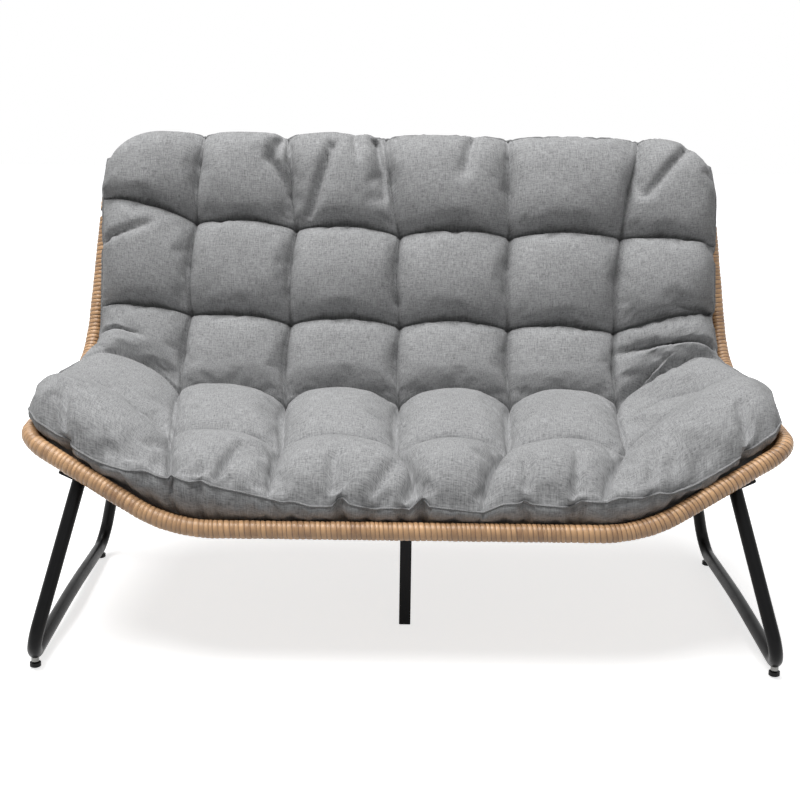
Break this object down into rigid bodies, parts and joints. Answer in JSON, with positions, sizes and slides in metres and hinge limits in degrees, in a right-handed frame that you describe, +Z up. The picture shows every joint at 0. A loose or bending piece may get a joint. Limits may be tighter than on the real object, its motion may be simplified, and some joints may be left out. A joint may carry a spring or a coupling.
{
  "type": "double papasan chair",
  "caption": "Double scoop chair: a tufted cushion in a woven bowl with a cane-wrapped rim, on steel sled legs.",
  "frame": {"origin": "on the floor, under the middle of the chair's overall box", "axes": "+X to the sitter's left, which is the right of the picture; +Y to the back; +Z up"},
  "size_m": [1.4016, 0.8765, 0.9092],
  "materials": {
    "cushion_cloth": "heathered grey linen-look weave over soft fill",
    "welt_cloth": "the same grey cloth sewn round a cord",
    "cane_wrap": "split cane wound round the rim, satin lacquer",
    "wicker": "woven flat cane, satin lacquer",
    "black_steel": "black powder coat, satin",
    "bolt_steel": "black oxide",
    "zinc_steel": "zinc plated",
    "black_plastic": "moulded black plastic"
  },
  "bodies": {
    "frame": {"rim_tube_lower": "black_steel", "rim_tube_upper": "black_steel", "rim_wrap_front": "cane_wrap", "rim_wrap_top": "cane_wrap", "rim_wrap_right": "cane_wrap", "rim_wrap_left": "cane_wrap", "wicker_skin": "wicker", "seat_crossbar_front": "black_steel", "seat_crossbar_middle": "black_steel", "seat_crossbar_rear": "black_steel", "back_crossbar_lower": "black_steel", "back_crossbar_upper": "black_steel", "stringer_right": "black_steel", "stringer_left": "black_steel", "leg_hoop_right": "black_steel", "leg_hoop_left": "black_steel", "foot_socket_front_left": "zinc_steel", "foot_socket_front_right": "zinc_steel", "foot_socket_rear_left": "zinc_steel", "foot_socket_rear_right": "zinc_steel", "leg_plate_front_right": "black_steel", "leg_plate_front_left": "black_steel", "leg_plate_rear_right": "black_steel", "leg_plate_rear_left": "black_steel", "centre_leg_plate": "black_steel", "centre_leg": "black_steel", "centre_leg_cap": "black_plastic", "plate_washers": "bolt_steel", "plate_bolts": "bolt_steel", "crossbar_nuts": "zinc_steel"},
    "seat_cushion": {"cushion": "cushion_cloth", "cushion_welt": "welt_cloth"},
    "foot_fl": {"foot_front_left": "black_plastic"},
    "foot_fr": {"foot_front_right": "black_plastic"},
    "foot_rl": {"foot_rear_left": "black_plastic"},
    "foot_rr": {"foot_rear_right": "black_plastic"}
  },
  "joints": [
    {"name": "cushion_lift", "type": "slide", "parent": "frame", "child": "seat_cushion", "axis": [0, -0.5, 0.866], "range_m": [0, 0.45]},
    {"name": "foot_level_front_left", "type": "slide", "parent": "frame", "child": "foot_fl", "axis": [0, 0, -1], "range_m": [0, 0.008]},
    {"name": "foot_level_front_right", "type": "slide", "parent": "frame", "child": "foot_fr", "axis": [0, 0, -1], "range_m": [0, 0.008]},
    {"name": "foot_level_rear_left", "type": "slide", "parent": "frame", "child": "foot_rl", "axis": [0, 0, -1], "range_m": [0, 0.008]},
    {"name": "foot_level_rear_right", "type": "slide", "parent": "frame", "child": "foot_rr", "axis": [0, 0, -1], "range_m": [0, 0.008]}
  ]
}
